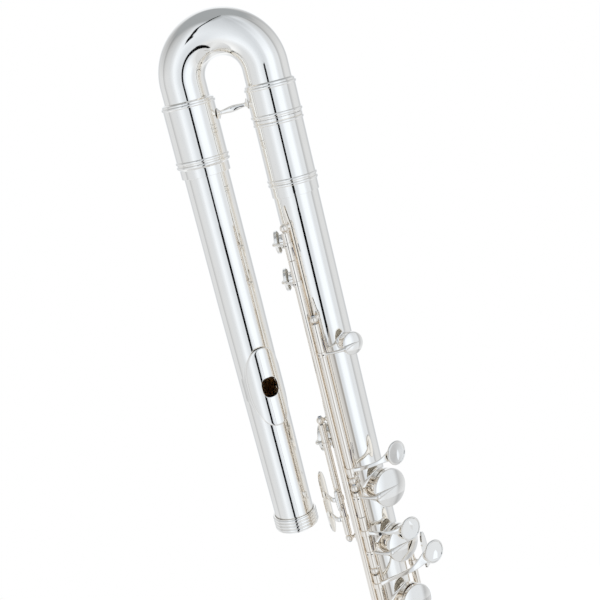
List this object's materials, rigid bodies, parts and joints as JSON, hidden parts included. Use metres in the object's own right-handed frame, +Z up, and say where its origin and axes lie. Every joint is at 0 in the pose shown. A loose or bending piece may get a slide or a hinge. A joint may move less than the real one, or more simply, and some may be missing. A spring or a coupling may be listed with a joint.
{
  "type": "bass flute",
  "caption": "Low silver flute with a U-shaped bow: long keyed body and foot, lip tube folded back beside it, working keys, rollers, tuning slide and crown.",
  "frame": {"origin": "centre of the foot's open end, where a stand's peg enters the bore", "axes": "+Z up along the body tube's axis to the bow, -X to the lip tube and the player's thumb side, -Y to the side that faces the viewer with the mouth hole"},
  "size_m": [0.1219, 0.0586, 0.9762],
  "materials": {
    "silver_plate": "mirror polished silver plate over nickel silver",
    "satin_plate": "plain turned and plated, hidden inside the tube",
    "hinge_steel": "ground steel rod",
    "pad_skin": "stretched bladder skin over woven felt",
    "cork": "natural bottle cork"
  },
  "bodies": {
    "body": {"body_tube": "silver_plate", "barrel": "silver_plate", "main_rib": "silver_plate", "trill_rib": "silver_plate", "thumb_rib": "silver_plate", "g_sharp_post_upper": "silver_plate", "g_sharp_post_lower": "silver_plate", "upper_steel": "hinge_steel", "lower_steel": "hinge_steel", "thumb_steel": "hinge_steel", "g_sharp_steel": "hinge_steel"},
    "foot": {"foot_tube": "silver_plate", "foot_rib": "silver_plate"},
    "bow": {"bow_tube": "silver_plate", "bow_sleeve": "silver_plate", "bow_ferrule": "silver_plate", "bow_brace": "silver_plate"},
    "head": {"lip_tube": "silver_plate", "lip_plate": "silver_plate"},
    "crown_cap": {"crown": "silver_plate"},
    "stopper": {"stopper_screw": "satin_plate", "stopper_cork": "cork", "stopper_washer": "satin_plate"},
    "c_sharp_key": {"key_c_sharp": "silver_plate", "pad_c_sharp": "pad_skin"},
    "b_flat_key": {"key_b_flat": "silver_plate", "pad_b_flat": "pad_skin"},
    "a_key": {"key_a": "silver_plate", "pad_a": "pad_skin"},
    "g_key": {"key_g": "silver_plate", "pad_g_high": "pad_skin", "pad_g_low": "pad_skin"},
    "f_sharp_key": {"key_f_sharp": "silver_plate", "pad_f_sharp": "pad_skin"},
    "f_key": {"key_f": "silver_plate", "pad_f": "pad_skin"},
    "e_key": {"key_e": "silver_plate", "pad_e": "pad_skin"},
    "d_key": {"key_d": "silver_plate", "pad_d": "pad_skin"},
    "trill_high_key": {"key_trill_high": "silver_plate", "pad_trill_high": "pad_skin"},
    "trill_low_key": {"key_trill_low": "silver_plate", "pad_trill_low": "pad_skin"},
    "thumb_b_key": {"key_thumb_b": "silver_plate", "pad_thumb": "pad_skin"},
    "b_flat_lever": {"key_b_flat_lever": "silver_plate"},
    "g_sharp_key": {"key_g_sharp": "silver_plate", "pad_g_sharp": "pad_skin"},
    "low_d_sharp_key": {"key_low_d_sharp": "silver_plate", "pad_low_d_sharp": "pad_skin"},
    "low_c_sharp_key": {"key_low_c_sharp": "silver_plate", "pad_low_c_sharp": "pad_skin"},
    "low_c_key": {"key_low_c": "silver_plate", "pad_low_c": "pad_skin"},
    "roller_low_c_sharp": {"roller_c_sharp": "silver_plate"},
    "roller_low_c": {"roller_c": "silver_plate"}
  },
  "joints": [
    {"name": "tuning_slide", "type": "slide", "parent": "body", "child": "bow", "axis": [0, 0, 1], "range_m": [0, 0.02]},
    {"name": "lip_swivel", "type": "hinge", "parent": "bow", "child": "head", "pos_m": [-0.0574, 0, 0.89], "axis": [0, 0, 1], "range_deg": [-60, 60]},
    {"name": "crown_turn", "type": "hinge", "parent": "head", "child": "crown_cap", "pos_m": [-0.0574, 0, 0.603], "axis": [0, 0, 1], "range_deg": [-360, 360]},
    {"name": "stopper_travel", "type": "slide", "parent": "head", "child": "stopper", "axis": [0, 0, 1], "range_m": [-0.001, 0.001]},
    {"name": "foot_swivel", "type": "hinge", "parent": "body", "child": "foot", "pos_m": [0, 0, 0.25], "axis": [0, 0, 1], "range_deg": [-20, 20]},
    {"name": "c_sharp_close", "type": "hinge", "parent": "body", "child": "c_sharp_key", "pos_m": [-0.00593, -0.02139, 0.7355], "axis": [0, 0, 1], "range_deg": [0, 10], "stiffness_Nm_per_rad": 0.03},
    {"name": "b_flat_close", "type": "hinge", "parent": "body", "child": "b_flat_key", "pos_m": [-0.00593, -0.02139, 0.623], "axis": [0, 0, 1], "range_deg": [0, 10], "stiffness_Nm_per_rad": 0.03},
    {"name": "a_close", "type": "hinge", "parent": "body", "child": "a_key", "pos_m": [-0.00593, -0.02139, 0.578], "axis": [0, 0, 1], "range_deg": [0, 10], "stiffness_Nm_per_rad": 0.03},
    {"name": "g_close", "type": "hinge", "parent": "body", "child": "g_key", "pos_m": [-0.00593, -0.02139, 0.51], "axis": [0, 0, 1], "range_deg": [0, 10], "stiffness_Nm_per_rad": 0.03},
    {"name": "f_sharp_close", "type": "hinge", "parent": "body", "child": "f_sharp_key", "pos_m": [-0.00593, -0.02139, 0.445], "axis": [0, 0, 1], "range_deg": [0, 10], "stiffness_Nm_per_rad": 0.03},
    {"name": "f_close", "type": "hinge", "parent": "body", "child": "f_key", "pos_m": [-0.00593, -0.02139, 0.394], "axis": [0, 0, 1], "range_deg": [0, 10], "stiffness_Nm_per_rad": 0.03},
    {"name": "e_close", "type": "hinge", "parent": "body", "child": "e_key", "pos_m": [-0.00593, -0.02139, 0.34], "axis": [0, 0, 1], "range_deg": [0, 10], "stiffness_Nm_per_rad": 0.03},
    {"name": "d_close", "type": "hinge", "parent": "body", "child": "d_key", "pos_m": [-0.00593, -0.02139, 0.284], "axis": [0, 0, 1], "range_deg": [0, 10], "stiffness_Nm_per_rad": 0.03},
    {"name": "trill_high_open", "type": "hinge", "parent": "body", "child": "trill_high_key", "pos_m": [-0.01139, -0.01823, 0.8125], "axis": [0, 0, 1], "range_deg": [0, 9], "stiffness_Nm_per_rad": 0.03},
    {"name": "trill_low_open", "type": "hinge", "parent": "body", "child": "trill_low_key", "pos_m": [-0.01139, -0.01823, 0.785], "axis": [0, 0, 1], "range_deg": [0, 9], "stiffness_Nm_per_rad": 0.03},
    {"name": "thumb_b_close", "type": "hinge", "parent": "body", "child": "thumb_b_key", "pos_m": [-0.02049, -0.00746, 0.664], "axis": [0, 0, -1], "range_deg": [0, 10], "stiffness_Nm_per_rad": 0.03},
    {"name": "b_flat_lever_press", "type": "hinge", "parent": "body", "child": "b_flat_lever", "pos_m": [-0.02049, -0.00746, 0.62], "axis": [0, 0, -1], "range_deg": [0, 10], "stiffness_Nm_per_rad": 0.03},
    {"name": "g_sharp_open", "type": "hinge", "parent": "body", "child": "g_sharp_key", "pos_m": [0.02009, 0.00538, 0.492], "axis": [0, 0, -1], "range_deg": [0, 12], "stiffness_Nm_per_rad": 0.03},
    {"name": "low_d_sharp_open", "type": "hinge", "parent": "foot", "child": "low_d_sharp_key", "pos_m": [-0.00956, -0.02004, 0.222], "axis": [0, 0, -1], "range_deg": [0, 12], "stiffness_Nm_per_rad": 0.03},
    {"name": "low_c_sharp_close", "type": "hinge", "parent": "foot", "child": "low_c_sharp_key", "pos_m": [-0.00956, -0.02004, 0.157], "axis": [0, 0, 1], "range_deg": [0, 10], "stiffness_Nm_per_rad": 0.03},
    {"name": "low_c_close", "type": "hinge", "parent": "foot", "child": "low_c_key", "pos_m": [-0.00956, -0.02004, 0.088], "axis": [0, 0, 1], "range_deg": [0, 10], "stiffness_Nm_per_rad": 0.03},
    {"name": "roller_c_sharp_spin", "type": "hinge", "parent": "low_c_sharp_key", "child": "roller_low_c_sharp", "pos_m": [0.01459, -0.02891, 0.183], "axis": [0.9848, 0.1736, 0], "continuous": true},
    {"name": "roller_c_spin", "type": "hinge", "parent": "low_c_key", "child": "roller_low_c", "pos_m": [0.01459, -0.02891, 0.197], "axis": [0.9848, 0.1736, 0], "continuous": true}
  ],
  "couplings": [
    {"joint": "b_flat_close", "follows": "a_close", "ratio": 1},
    {"joint": "f_sharp_close", "follows": "f_close", "ratio": 1},
    {"joint": "stopper_travel", "follows": "crown_turn", "m_per_rad": 0.000159}
  ]
}
